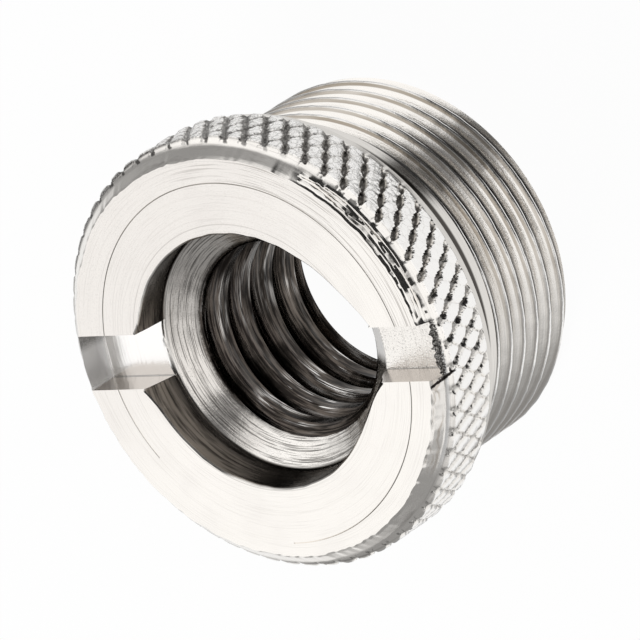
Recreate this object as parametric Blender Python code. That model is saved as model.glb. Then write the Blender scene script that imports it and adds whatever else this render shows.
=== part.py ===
"""Microphone stand thread adapter, turned from one piece of bar and plated.

A bush with a coarse female thread in its bore and a fine male thread on its
shank. The head is a diamond-knurled flange with a screwdriver slot across it.

The axis is +Z. The adapter stands on the end of its shank at z = 0, with the
slotted face on top. The slot runs along X.
"""

import math

import bmesh
import bpy

# Head: a knurled flange with a bevelled band at its front edge. Its rim stands
# out from the male thread by the lip.
FLANGE_LIP = 0.0012225
FLANGE_THICKNESS = 0.0036
BAND_STEP = 0.00033
BAND_WIDTH = 0.00041
BAND_DEPTH = 0.00052
LAND_STEP = 0.00021
LAND_HEIGHT = 0.00034

# Diamond knurl on the rim of the flange
KNURL_COUNT = 60
KNURL_DEPTH = 0.00030
KNURL_ANGLE = math.radians(32.5)
KNURL_TURN = math.radians(1.0)

# Screwdriver slot across the head. It stops inside the rim, and a thin knurled
# skin closes each end.
SLOT_WIDTH = 0.0023
SLOT_DEPTH = 0.0015
SLOT_SKIN = 0.0005

# Shank and its male thread, 5/8 inch with 27 threads to the inch
SHANK_LENGTH = 0.0075
MALE_DIAMETER = 0.015875
MALE_PITCH = 0.0254 / 27
MALE_TURN = math.radians(61.0)
NECK_STEP = 0.00002
NECK_LENGTH = 0.00185
GROOVE_DEPTH = 0.00012
END_CHAMFER = 0.0004

# Bore and its female thread, 3/8 inch with 16 threads to the inch. The tapping
# hole is narrower than the thread by a step all round, and the recess and the
# exit sink are wider.
FEMALE_DIAMETER = 0.009525
FEMALE_PITCH = 0.0254 / 16
FEMALE_TURN = math.radians(161.0)
TAP_DRILL_STEP = 0.0007625
RECESS_STEP = 0.0005875
RECESS_DEPTH = 0.00165
RECESS_CHAMFER = 0.00006
DRILL_POINT = math.radians(118.0)
EXIT_SINK_STEP = 0.0007875

# Mouth of the recess, eased outward beside the four corners of the slot: the
# angle of the corner, the way round from it, how far out at the face, and the
# angle over which that fades
EASE_DEPTH = 0.00140
RIGHT_EASE = 0.00080
LEFT_EASE = 0.00045
TIGHT_EASE = 0.00025
MOUTH_CORNERS = (
    (math.radians(11.0), 1, RIGHT_EASE, math.radians(17.0)),
    (math.radians(-11.0), -1, RIGHT_EASE, math.radians(9.0)),
    (math.radians(168.0), -1, TIGHT_EASE, math.radians(5.0)),
    (math.radians(192.0), 1, LEFT_EASE, math.radians(8.0)),
)
INSIDE_FADE = math.radians(3.0)

# Form of both threads: 60 degree flanks, flats as shares of the pitch
FLANK = math.radians(30.0)
NARROW_FLAT = 1 / 8
WIDE_FLAT = 1 / 4

# Facets
ROUND_FACETS = 72
BORE_FACETS = 60
SHARP_EDGE = math.radians(25.0)

# How far a cutting shape runs past the surface that it cuts
OVERCUT = 0.0004
MERGE = 1e-7

# Places and sizes that follow from the others
SHOULDER = SHANK_LENGTH
SLOTTED_FACE = SHOULDER + FLANGE_THICKNESS
FLANGE_DIAMETER = MALE_DIAMETER + 2 * FLANGE_LIP
TAP_DRILL_DIAMETER = FEMALE_DIAMETER - 2 * TAP_DRILL_STEP
RECESS_DIAMETER = FEMALE_DIAMETER + 2 * RECESS_STEP
EXIT_SINK_DIAMETER = FEMALE_DIAMETER + 2 * EXIT_SINK_STEP
BAND_DIAMETER = FLANGE_DIAMETER - 2 * BAND_STEP
FACE_DIAMETER = BAND_DIAMETER - 2 * BAND_WIDTH
LAND_DIAMETER = FLANGE_DIAMETER - 2 * LAND_STEP
NECK_DIAMETER = MALE_DIAMETER + 2 * NECK_STEP


def clear_scene():
    for item in list(bpy.data.objects):
        bpy.data.objects.remove(item, do_unlink=True)


def add_object(name, mesh):
    item = bpy.data.objects.new(name, mesh)
    bpy.context.scene.collection.objects.link(item)
    return item


def mesh_from(name, points, faces):
    """A closed mesh with its faces turned outward."""
    mesh = bpy.data.meshes.new(name)
    mesh.from_pydata(points, [], faces)
    shape = bmesh.new()
    shape.from_mesh(mesh)
    bmesh.ops.recalc_face_normals(shape, faces=shape.faces)
    shape.to_mesh(mesh)
    shape.free()
    return mesh


def turned(name, profile, facets):
    """A solid of revolution. The profile is (radius, height) pairs, and its
    first and last points lie on the axis."""
    shape = bmesh.new()
    chain = [shape.verts.new((radius, 0, height)) for radius, height in profile]
    edges = [shape.edges.new(pair) for pair in zip(chain, chain[1:])]
    bmesh.ops.spin(
        shape,
        geom=chain + edges,
        cent=(0, 0, 0),
        axis=(0, 0, 1),
        angle=2 * math.pi,
        steps=facets,
    )
    bmesh.ops.remove_doubles(shape, verts=shape.verts, dist=MERGE)
    bmesh.ops.recalc_face_normals(shape, faces=shape.faces)
    mesh = bpy.data.meshes.new(name)
    shape.to_mesh(mesh)
    shape.free()
    return add_object(name, mesh)


def threaded_rod(name, outer, inner, pitch, outer_flat, bottom, top, turn, facets):
    """A right-hand threaded rod. Its surface is a grid of four rows to each
    turn, sheared by one pitch round the axis, and a fan closes each end."""
    rise = (outer - inner) * math.tan(FLANK) / pitch
    ridge = outer_flat / 2
    turn_rows = [
        (-ridge - rise, inner),
        (-ridge, outer),
        (ridge, outer),
        (ridge + rise, inner),
    ]
    per_turn = len(turn_rows)
    first = math.floor(bottom / pitch)
    last = math.ceil(top / pitch)
    rows = [
        (pitch * (count + share), radius)
        for count in range(first, last)
        for share, radius in turn_rows
    ]

    points = []
    for height, radius in rows:
        for step in range(facets):
            angle = 2 * math.pi * step / facets
            points.append((
                radius * math.cos(angle + turn),
                radius * math.sin(angle + turn),
                height + pitch * step / facets,
            ))

    def at(row, step):
        return row * facets + step

    seam = facets - 1
    faces = []
    for row in range(len(rows) - 1):
        for step in range(seam):
            faces.append((
                at(row, step),
                at(row, step + 1),
                at(row + 1, step + 1),
                at(row + 1, step),
            ))
    for row in range(len(rows) - per_turn - 1):
        faces.append((
            at(row, seam),
            at(row + per_turn, 0),
            at(row + per_turn + 1, 0),
            at(row + 1, seam),
        ))

    end = len(rows) - 1
    low_rim = [at(0, step) for step in range(facets)]
    low_rim += [at(row, 0) for row in range(per_turn, 0, -1)]
    high_rim = [at(end, step) for step in range(facets)]
    high_rim += [at(end - row, seam) for row in range(1, per_turn + 1)]
    for rim, height in ((low_rim, rows[0][0]), (high_rim, rows[end][0] + pitch)):
        centre = len(points)
        points.append((0, 0, height))
        for one, other in zip(rim, rim[1:] + rim[:1]):
            faces.append((one, other, centre))
    return add_object(name, mesh_from(name, points, faces))


def knurled_head():
    """The head as one closed surface, from the slotted face down to the
    shoulder. On the rim, peaks and pits alternate along each row and from row
    to row, and each cell is folded between its two pits."""
    crest = FLANGE_DIAMETER / 2
    root = crest - KNURL_DEPTH
    half_pitch = math.pi * FLANGE_DIAMETER / KNURL_COUNT / 2
    row_height = half_pitch / math.tan(KNURL_ANGLE)
    rim_top = SLOTTED_FACE - BAND_DEPTH
    rim_bottom = SHOULDER + LAND_HEIGHT
    rim = rim_top - rim_bottom
    spaces = max(1, math.floor((rim - KNURL_DEPTH) / row_height))
    margin = (rim - spaces * row_height) / 2

    columns = 2 * KNURL_COUNT
    rings = [
        (SLOTTED_FACE, FACE_DIAMETER / 2, FACE_DIAMETER / 2),
        (rim_top, BAND_DIAMETER / 2, BAND_DIAMETER / 2),
    ]
    for row in range(spaces + 1):
        height = rim_top - margin - row * row_height
        pair = (root, crest) if row % 2 == 0 else (crest, root)
        rings.append((height, *pair))
    rings += [
        (rim_bottom, LAND_DIAMETER / 2, LAND_DIAMETER / 2),
        (SHOULDER, LAND_DIAMETER / 2, LAND_DIAMETER / 2),
    ]

    points = []
    for height, even, odd in rings:
        for column in range(columns):
            radius = even if column % 2 == 0 else odd
            angle = math.pi * column / KNURL_COUNT + KNURL_TURN
            points.append((radius * math.cos(angle), radius * math.sin(angle), height))

    def at(ring, column):
        return ring * columns + column % columns

    plain = [even == odd for height, even, odd in rings]
    faces = []
    for ring in range(len(rings) - 1):
        for column in range(columns):
            near = at(ring, column)
            right = at(ring, column + 1)
            below = at(ring + 1, column)
            far = at(ring + 1, column + 1)
            if plain[ring] and plain[ring + 1]:
                faces.append((near, right, far, below))
            elif (ring + column) % 2 == 0:
                faces += [(near, right, far), (near, far, below)]
            else:
                faces += [(near, right, below), (right, far, below)]
    for ring in (0, len(rings) - 1):
        faces.append(tuple(at(ring, column) for column in range(columns)))
    return add_object("adapter_body", mesh_from("adapter_body", points, faces))


def carve(target, tool, operation, solver="EXACT"):
    """Apply a Boolean of the tool to the target and drop the tool."""
    tool.hide_render = True
    tool.display_type = "WIRE"
    cut = target.modifiers.new(tool.name, "BOOLEAN")
    cut.operation = operation
    cut.solver = solver
    cut.object = tool
    bpy.context.view_layer.update()
    graph = bpy.context.evaluated_depsgraph_get()
    result = bpy.data.meshes.new_from_object(target.evaluated_get(graph))
    target.modifiers.clear()
    target.data = result
    bpy.data.objects.remove(tool, do_unlink=True)
    return target


def neck():
    """The plain neck under the head, with a cone that fills the last turn of
    the thread. Its top is inside the head."""
    radius = NECK_DIAMETER / 2
    tail = MALE_DIAMETER / 2 - thread_depth(MALE_PITCH) - OVERCUT
    start = SHOULDER - NECK_LENGTH
    return turned("neck", [
        (0, SHOULDER + OVERCUT),
        (radius, SHOULDER + OVERCUT),
        (radius, start),
        (tail, start - (radius - tail)),
        (0, start - (radius - tail)),
    ], ROUND_FACETS)


def thread_depth(pitch):
    """Depth of a 60 degree thread between its two flats."""
    return pitch * (1 - NARROW_FLAT - WIDE_FLAT) / 2 / math.tan(FLANK)


def male_thread():
    """The threaded shank, with a chamfered end. At the neck its crests end in
    a small groove."""
    crest = MALE_DIAMETER / 2
    root = crest - thread_depth(MALE_PITCH)
    outside = crest + OVERCUT
    end = crest - END_CHAMFER
    run_out = SHOULDER - NECK_LENGTH
    inside = root + OVERCUT / 4
    groove = NECK_DIAMETER / 2 - GROOVE_DEPTH
    rod = threaded_rod(
        "male_thread",
        crest,
        root,
        MALE_PITCH,
        NARROW_FLAT,
        -MALE_PITCH,
        run_out + MALE_PITCH,
        MALE_TURN,
        ROUND_FACETS,
    )
    outline = turned("shank_outline", [
        (0, run_out + (groove - inside)),
        (inside, run_out + (groove - inside)),
        (outside, run_out - (outside - groove)),
        (outside, outside - end),
        (end, 0),
        (0, 0),
    ], ROUND_FACETS)
    return carve(rod, outline, "INTERSECT")


def mouth_ease(angle):
    """How far the mouth stands out from its circle at this angle."""
    total = 0.0
    for corner, way, amount, fade in MOUTH_CORNERS:
        away = way * math.remainder(angle - corner, 2 * math.pi)
        total += amount * math.exp(-away / fade if away > 0 else away / INSIDE_FADE)
    return total


def bore():
    """The recess with its drill point, the tapping hole and the exit sink."""
    recess = RECESS_DIAMETER / 2
    hole = TAP_DRILL_DIAMETER / 2
    sink = EXIT_SINK_DIAMETER / 2
    mouth = recess + RECESS_CHAMFER + OVERCUT
    floor = SLOTTED_FACE - RECESS_DEPTH
    tool = turned("bore", [
        (0, SLOTTED_FACE + OVERCUT),
        (mouth, SLOTTED_FACE + OVERCUT),
        (recess, SLOTTED_FACE - RECESS_CHAMFER),
        (recess, SLOTTED_FACE - EASE_DEPTH),
        (recess, floor),
        (hole, floor - (recess - hole) / math.tan(DRILL_POINT / 2)),
        (hole, sink - hole),
        (sink + OVERCUT, -OVERCUT),
        (0, -OVERCUT),
    ], BORE_FACETS)
    for point in tool.data.vertices:
        reach = math.hypot(point.co.x, point.co.y)
        if reach > hole and point.co.z > SLOTTED_FACE - EASE_DEPTH / 2:
            grown = 1 + mouth_ease(math.atan2(point.co.y, point.co.x)) / reach
            point.co.x *= grown
            point.co.y *= grown
    return tool


def female_thread():
    """The groove that the tap cuts, as a rod with its ridge outward."""
    return threaded_rod(
        "female_thread",
        FEMALE_DIAMETER / 2,
        TAP_DRILL_DIAMETER / 2 - OVERCUT / 4,
        FEMALE_PITCH,
        NARROW_FLAT,
        -FEMALE_PITCH,
        SLOTTED_FACE - RECESS_DEPTH,
        FEMALE_TURN,
        BORE_FACETS,
    )


def slot():
    """The straight slot across the head, up to the skin at each end."""
    long = FLANGE_DIAMETER / 2 - SLOT_SKIN
    wide = SLOT_WIDTH / 2
    floor = SLOTTED_FACE - SLOT_DEPTH
    mesh = bpy.data.meshes.new("slot")
    shape = bmesh.new()
    bmesh.ops.create_cube(shape, size=2)
    bmesh.ops.scale(shape, vec=(long, wide, (SLOT_DEPTH + OVERCUT) / 2), verts=shape.verts)
    bmesh.ops.translate(
        shape,
        vec=(0, 0, floor + (SLOT_DEPTH + OVERCUT) / 2),
        verts=shape.verts,
    )
    shape.to_mesh(mesh)
    shape.free()
    return add_object("slot", mesh)


def finish(body):
    """Clean edges, smooth shading on the round faces and the plated look."""
    shape = bmesh.new()
    shape.from_mesh(body.data)
    bmesh.ops.remove_doubles(shape, verts=shape.verts, dist=MERGE)
    shape.to_mesh(body.data)
    shape.free()
    body.data.shade_smooth()
    body.data.set_sharp_from_angle(angle=SHARP_EDGE)
    body.data.materials.clear()
    body.data.materials.append(nickel_plate())


def nickel_plate():
    plate = bpy.data.materials.new("nickel_plate")
    plate.use_nodes = True
    surface = plate.node_tree.nodes["Principled BSDF"]
    surface.inputs["Base Color"].default_value = (0.78, 0.76, 0.73, 1)
    surface.inputs["Metallic"].default_value = 1.0
    surface.inputs["Roughness"].default_value = 0.25
    return plate


def adapter():
    """The whole body. The root of the male thread runs out on the neck's cone
    at a grazing angle, where the exact solver can leave an open edge."""
    body = knurled_head()
    carve(body, neck(), "UNION")
    carve(body, male_thread(), "UNION", "MANIFOLD")
    carve(body, bore(), "DIFFERENCE")
    carve(body, female_thread(), "DIFFERENCE")
    carve(body, slot(), "DIFFERENCE")
    finish(body)
    return body


clear_scene()
adapter()
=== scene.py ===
"""Microphone stand thread adapter, nickel plated, on a pale floor.

All lengths are in millimetres until a mesh is made, and then in metres. Depth
is measured down from the slotted face, and angles are taken round the axis
from the slot's right end. Only the camera and the lamp are in metres.
"""

import math

import bmesh
import bpy
import numpy as np
from mathutils import Matrix, Vector

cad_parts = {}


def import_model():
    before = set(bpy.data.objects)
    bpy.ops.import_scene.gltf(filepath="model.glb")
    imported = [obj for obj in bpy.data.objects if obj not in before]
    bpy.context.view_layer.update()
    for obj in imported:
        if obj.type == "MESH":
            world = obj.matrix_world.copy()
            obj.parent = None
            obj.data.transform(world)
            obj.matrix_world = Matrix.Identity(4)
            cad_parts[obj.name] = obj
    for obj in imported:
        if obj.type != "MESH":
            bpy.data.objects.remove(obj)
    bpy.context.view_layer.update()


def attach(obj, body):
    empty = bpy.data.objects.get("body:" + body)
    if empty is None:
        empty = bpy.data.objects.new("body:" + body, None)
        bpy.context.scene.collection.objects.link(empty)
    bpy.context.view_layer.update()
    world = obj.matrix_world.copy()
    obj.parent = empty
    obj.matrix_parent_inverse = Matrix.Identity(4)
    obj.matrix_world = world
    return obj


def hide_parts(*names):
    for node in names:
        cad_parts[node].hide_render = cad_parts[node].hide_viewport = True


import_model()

MM = 0.001
INCH = 25.4
TAU = 2 * math.pi

# Head
LENGTH = 11.1
CREST = 9.16
FACE_RADIUS = 8.42
BAND_RADIUS = 8.83
BAND_DEPTH = 0.52
LAND_RADIUS = 8.95
LAND_START = 3.26
LAND_SLOPE = 1.2
SHOULDER_DEPTH = 3.6
EDGE_EASE = 0.03
FACE_EASE = 0.02
RAGGED = (0.030, 0.025)
HEAD_COLUMNS = 960

# Thin ledges that mark one side of the band
MARKED_TURN = 34
MARKED_HALF = 27
MARKED_FADE = 3
LEDGE_SHARES = (0.20, 0.40, 0.60, 0.80)
LEDGE_WANDER = 0.08
LEDGE_WIDTH = 0.022
LEDGE_SWELL = 0.026
LEDGE_GRIT = 0.010
LEDGE_LEAST = 0.003

# Diamond knurl. The grooves and the pits change in depth round the rim, and
# the crests are more worn on one side
KNURL_PITCH = 6.0
KNURL_PHASE = 22.0
KNURL_DEPTH_PHASE = 1.55
KNURL_SLOPE = 4.0
KNURL_DEPTH = 0.30
KNURL_ENTRY = (1.0, 2.3)
ENTRY_TURN = math.radians(22.0)
ENTRY_FACING = (-0.3, 0.4)
KNURL_ROWS = 40
PITTED_TURN = 33
PITTED_SPREAD = 33
GROOVE_CUT = (0.15, -0.09)
PIT_CUT = (0.02, 0.20)
CROSS_CUT = (0.11, -0.10)
CROSS_HALF = 0.13
PIT_HALF = 0.18
PIT_LEAST = 0.02
RIDGE_POWER = 0.7
KNURL_WEAR = (0.014, 0.020)
WORN_TURN = 110
WORN_SPREAD = 40

# Slot
SLOT_WIDTH = 2.3
SLOT_SIDE = SLOT_WIDTH / 2
SLOT_DEPTH = 1.5
SLOT_REACH = 8.66
SLOT_FOOT = 0.42
SLOT_TORN = 0.04

# Male thread
MALE_CREST = 0.625 * INCH / 2
MALE_PITCH = INCH / 27
MALE_DEPTH = 0.509
MALE_TURN = math.radians(61.0)
MALE_COLUMNS = 240
MALE_WEAR = 0.012
NECK_STEP = 0.02
NECK_END = 5.45
GROOVE_DEPTH = 0.12
ROOT_STEP = 0.1
END_CHAMFER = 0.4

# Bore and female thread
FEMALE_ROOT = 0.375 * INCH / 2
FEMALE_PITCH = INCH / 16
FEMALE_TURN = math.radians(161.0)
FEMALE_COLUMNS = 160
FEMALE_WEAR = 0.02
HOLE_RADIUS = 4.0
RECESS_RADIUS = 5.35
RECESS_DEPTH = 1.65
MOUTH_CHAMFER = 0.08
DRILL_SLOPE = math.tan(math.radians(31.0))
SINK_RADIUS = 5.55

# Corners of the slot at the mouth: angle, side, amount and spread in degrees
MOUTH_CORNERS = (
    (11.0, 1, 0.92, 23.0),
    (-11.0, -1, 0.83, 9.0),
    (168.0, -1, 0.26, 5.0),
    (192.0, 1, 0.46, 6.0),
)
CORNER_EASE = 3.0
EASED_DEPTH = 0.7
EASED_SHARES = (0.45, 0.6)
MOUTH_SHIFT = 0.16
MOUTH_SHIFT_TURN = math.radians(245.0)
TORN_TURN = 181
TORN_SPREAD = 9.0

# A fine spiral line that the facing tool left: angle in degrees and radius
SPIRAL = ((-92, 7.85), (-50, 7.61), (8, 7.39), (60, 7.42), (110, 7.35), (165, 7.12),
          (215, 7.13))
SPIRAL_POINTS = 150
SPIRAL_EASE = 17
LINE_HALF = 0.045
LINE_DEPTH = 0.035

# Form of both threads: flats as shares of the pitch
THREAD_FLAT = 0.10
FLANK = math.radians(30.0)
WEAR_TURNS = 12
WEAR_WAVES = 2400
WEAR_POWER = 8

OVERCUT = 0.4
SHARP = math.radians(38.0)
LEVEL = 0.9999
TOUCH = 1e-3


def ring_noise(seed, angles, waves):
    """Smooth noise round a circle, between about -1 and 1."""
    grid = np.random.RandomState(seed).uniform(-1, 1, waves)
    place = np.asarray(angles) / TAU * waves
    low = np.floor(place).astype(int)
    share = place - low
    share = share * share * (3 - 2 * share)
    return grid[low % waves] * (1 - share) + grid[(low + 1) % waves] * share


def hump(degrees, turn, spread):
    """1 at an angle, and 0 far from it."""
    away = (degrees - turn + 180) % 360 - 180
    return np.exp(-(away / spread) ** 2)


def height(depth):
    return LENGTH - depth


def linked(name, data):
    """A new object of the scene that holds this data."""
    item = bpy.data.objects.new(name, data)
    bpy.context.scene.collection.objects.link(item)
    return item


def open_mesh(name, points, faces):
    """A mesh from points in millimetres."""
    mesh = bpy.data.meshes.new(name)
    mesh.from_pydata([tuple(p) for p in np.asarray(points) * MM], [], faces)
    return mesh


def mesh_object(name, points, faces):
    """An object with outward faces from points in millimetres."""
    mesh = open_mesh(name, points, faces)
    shape = bmesh.new()
    shape.from_mesh(mesh)
    bmesh.ops.recalc_face_normals(shape, faces=shape.faces)
    shape.to_mesh(mesh)
    shape.free()
    return linked(name, mesh)


def ring_points(radius, depth, angles):
    """Points round the axis, at a radius and a depth that may both vary."""
    radius = np.broadcast_to(radius, angles.shape)
    level = np.broadcast_to(height(depth), angles.shape)
    return np.c_[radius * np.cos(angles), radius * np.sin(angles), level]


def quads(rings, columns):
    """Faces between rings of points, each as the numbers of its corners."""
    for low in range(0, (rings - 1) * columns, columns):
        high = low + columns
        for one in range(columns):
            other = (one + 1) % columns
            yield low + one, low + other, high + other, high + one


def end_discs(rings, columns):
    """The first and the last ring as faces."""
    last = (rings - 1) * columns
    return [tuple(range(columns)), tuple(range(last, last + columns))]


def lathe(name, profile, columns):
    """A closed solid of revolution. The profile is (radius, depth) pairs from
    top to bottom, and its first and last points are closed by flat discs."""
    angles = np.arange(columns) / columns * TAU
    points = [ring_points(radius, depth, angles) for radius, depth in profile]
    faces = [*quads(len(profile), columns), *end_discs(len(profile), columns)]
    return mesh_object(name, np.vstack(points), faces)


def helix(name, profile, pitch, top, turn, columns, rough, seed):
    """A right-hand threaded rod from one pitch below the end up to the top. The
    profile is (share of the pitch, radius) pairs over one turn, and the grid of
    the surface is sheared by one pitch."""
    rows = [(pitch * (count + share), radius)
            for count in range(-1, math.ceil(top / pitch)) for share, radius in profile]
    crest = max(radius for share, radius in profile)
    angles = np.arange(columns) / columns * TAU
    per_turn = len(profile)
    points = []
    for row, (level, radius) in enumerate(rows):
        path = angles + row // per_turn * TAU
        wear = ring_noise(seed, path / WEAR_TURNS, WEAR_WAVES)
        reach = radius + rough * wear * (radius / crest) ** WEAR_POWER
        points.append(np.c_[
            reach * np.cos(angles + turn),
            reach * np.sin(angles + turn),
            level + pitch * angles / TAU,
        ])
    seam = columns - 1

    def at(row, column):
        return row * columns + column

    faces = []
    for row in range(len(rows) - 1):
        for column in range(seam):
            faces.append((at(row, column), at(row, column + 1),
                          at(row + 1, column + 1), at(row + 1, column)))
    for row in range(len(rows) - per_turn - 1):
        faces.append((at(row, seam), at(row + per_turn, 0),
                      at(row + per_turn + 1, 0), at(row + 1, seam)))
    end = len(rows) - 1
    low_rim = [at(0, column) for column in range(columns)]
    low_rim += [at(row, 0) for row in range(per_turn, 0, -1)]
    high_rim = [at(end, column) for column in range(columns)]
    high_rim += [at(end - row, seam) for row in range(1, per_turn + 1)]
    count = len(rows) * columns
    caps = []
    for rim, level in ((low_rim, rows[0][0]), (high_rim, rows[end][0] + pitch)):
        for one, other in zip(rim, rim[1:] + rim[:1]):
            faces.append((one, other, count + len(caps)))
        caps.append((0, 0, level))
    return mesh_object(name, np.vstack(points + [np.array(caps, float)]), faces)


def soft(value, ease):
    """The larger of value and zero, with an eased corner."""
    return 0.5 * (value + math.sqrt(value * value + ease * ease))


def thread_profile(root, crest, pitch, crest_round, root_round, rows):
    """(share, radius) pairs of a 60 degree thread with eased corners."""
    slope = pitch / math.tan(FLANK)
    pairs = []
    for count in range(rows):
        share = -0.5 + (count + 0.5) / rows
        raw = crest - (abs(share) - THREAD_FLAT / 2) * slope
        top = crest - soft(crest - raw, crest_round)
        pairs.append((share, min(root + soft(top - root, root_round), crest)))
    return pairs


def band_rings(angles, degrees):
    """The bevelled band, with ragged ledges on the marked side."""
    ragged = RAGGED[0] * ring_noise(3, angles, 240) + RAGGED[1] * ring_noise(4, angles, 60)
    width = BAND_RADIUS - FACE_RADIUS
    steep = BAND_DEPTH / width
    away = np.abs(degrees - MARKED_TURN)
    marked = 0.5 + 0.5 * np.tanh((MARKED_HALF - away) / MARKED_FADE)
    rings = [(FACE_RADIUS - FACE_EASE + ragged, 0.0)]
    for count, share in enumerate(LEDGE_SHARES):
        share = share + LEDGE_WANDER * marked * ring_noise(60 + count, angles, 40)
        radius = FACE_RADIUS + share * width + (1 - share) * ragged
        ledge = LEDGE_WIDTH + LEDGE_SWELL * ring_noise(40 + count, angles, 52)
        ledge = ledge + LEDGE_GRIT * ring_noise(50 + count, angles, 300)
        half = LEDGE_LEAST + marked * np.clip(ledge, 0, None)
        drop = half * steep * (1 - marked) + LEDGE_LEAST * marked
        rings.append((radius - half, share * BAND_DEPTH - drop))
        rings.append((radius + half, share * BAND_DEPTH + drop))
    return rings


def knurl_radius(degrees, depth):
    """The ridges that go down to the right stand higher than the ones that
    cross them."""
    lean = KNURL_SLOPE * (depth - KNURL_DEPTH_PHASE)
    first = (degrees - KNURL_PHASE - lean) / KNURL_PITCH
    second = (degrees - KNURL_PHASE + lean) / KNURL_PITCH
    first = np.abs(first - np.round(first))
    second = np.abs(second - np.round(second))
    pitted = hump(degrees, PITTED_TURN, PITTED_SPREAD)
    ridge = np.sin(math.pi * first) ** RIDGE_POWER
    reach = PIT_HALF * (1 - (2 * second) ** 2) + PIT_LEAST
    pit = np.sqrt(np.clip(1 - first / reach, 0, 1))
    cross = np.clip(1 - second / CROSS_HALF, 0, 1)
    cut = (GROOVE_CUT[0] + GROOVE_CUT[1] * pitted) * (1 - ridge)
    cut = cut + (PIT_CUT[0] + PIT_CUT[1] * pitted) * pit
    cut = cut + (CROSS_CUT[0] + CROSS_CUT[1] * pitted) * cross * ridge
    rough = KNURL_WEAR[0] + KNURL_WEAR[1] * hump(degrees, WORN_TURN, WORN_SPREAD)
    worn = rough * ring_noise(int(depth * 40) + 11, np.radians(degrees), 320)
    return CREST - np.clip(cut + worn, 0, KNURL_DEPTH)


def rim_rings(angles, degrees):
    """The knurl, which rises from the band and falls to the land, and the land."""
    entry = np.interp(np.cos(angles - ENTRY_TURN), ENTRY_FACING, KNURL_ENTRY)
    rings = []
    for row in range(KNURL_ROWS + 1):
        depth = BAND_DEPTH + (LAND_START - BAND_DEPTH) * row / KNURL_ROWS
        radius = knurl_radius(degrees, depth)
        radius = np.minimum(radius, BAND_RADIUS + (depth - BAND_DEPTH) * entry)
        radius = np.minimum(radius, LAND_RADIUS + (LAND_START - depth) * LAND_SLOPE)
        rings.append((radius, depth))
    rings.append((LAND_RADIUS - 0.01, LAND_START + 0.05))
    rings.append((LAND_RADIUS, SHOULDER_DEPTH - EDGE_EASE))
    rings.append((LAND_RADIUS - EDGE_EASE, SHOULDER_DEPTH))
    return rings


def knurled_head():
    """The head from the slotted face down to the shoulder. Each square of its
    grid is split along the diagonal that follows the ridge."""
    angles = np.arange(HEAD_COLUMNS) / HEAD_COLUMNS * TAU
    degrees = np.degrees(angles)
    rings = band_rings(angles, degrees) + rim_rings(angles, degrees)
    points = np.vstack([ring_points(radius, depth, angles) for radius, depth in rings])
    reach = np.hypot(points[:, 0], points[:, 1])
    faces = []
    for a, b, c, d in quads(len(rings), HEAD_COLUMNS):
        if reach[a] + reach[c] < reach[b] + reach[d]:
            faces += [(a, b, c), (a, c, d)]
        else:
            faces += [(a, b, d), (b, c, d)]
    faces += end_discs(len(rings), HEAD_COLUMNS)
    return mesh_object("adapter", points, faces)


def carve(target, tool, operation):
    """Apply a Boolean of the tool to the target and drop the tool."""
    cut = target.modifiers.new(tool.name, "BOOLEAN")
    cut.operation = operation
    cut.solver = "MANIFOLD"
    cut.object = tool
    bpy.context.view_layer.update()
    graph = bpy.context.evaluated_depsgraph_get()
    result = bpy.data.meshes.new_from_object(target.evaluated_get(graph))
    target.modifiers.clear()
    old = target.data
    target.data = result
    bpy.data.meshes.remove(old)
    tool_mesh = tool.data
    bpy.data.objects.remove(tool, do_unlink=True)
    bpy.data.meshes.remove(tool_mesh)
    return target


def male_thread():
    root = MALE_CREST - MALE_DEPTH
    profile = thread_profile(root, MALE_CREST, MALE_PITCH, 0.03, 0.06, 20)
    rod = helix("male_rod", profile, MALE_PITCH, LENGTH - NECK_END + MALE_PITCH,
                MALE_TURN, MALE_COLUMNS, MALE_WEAR, 21)
    start = root + ROOT_STEP
    groove = MALE_CREST + NECK_STEP - GROOVE_DEPTH
    outside = MALE_CREST + OVERCUT
    end = MALE_CREST - END_CHAMFER
    outline = lathe("outline", [
        (start, NECK_END - (groove - start)),
        (outside, NECK_END + (outside - groove)),
        (outside, LENGTH - (outside - end)),
        (end, LENGTH),
    ], MALE_COLUMNS + 1)
    return carve(rod, outline, "INTERSECT")


def neck():
    radius = MALE_CREST + NECK_STEP
    tail = MALE_CREST - MALE_DEPTH - OVERCUT
    return lathe("neck", [
        (radius, SHOULDER_DEPTH - OVERCUT),
        (radius, NECK_END - EDGE_EASE),
        (radius - EDGE_EASE, NECK_END),
        (tail, NECK_END + radius - tail),
    ], MALE_COLUMNS)


def mouth_ease(degrees):
    """How far the mouth is eased outward where the slot meets it."""
    total = np.zeros(len(degrees))
    for corner, side, amount, spread in MOUTH_CORNERS:
        away = side * ((degrees - corner + 180) % 360 - 180)
        total += amount * np.exp(np.where(away > 0, -away / spread, away / CORNER_EASE))
    return total


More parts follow.
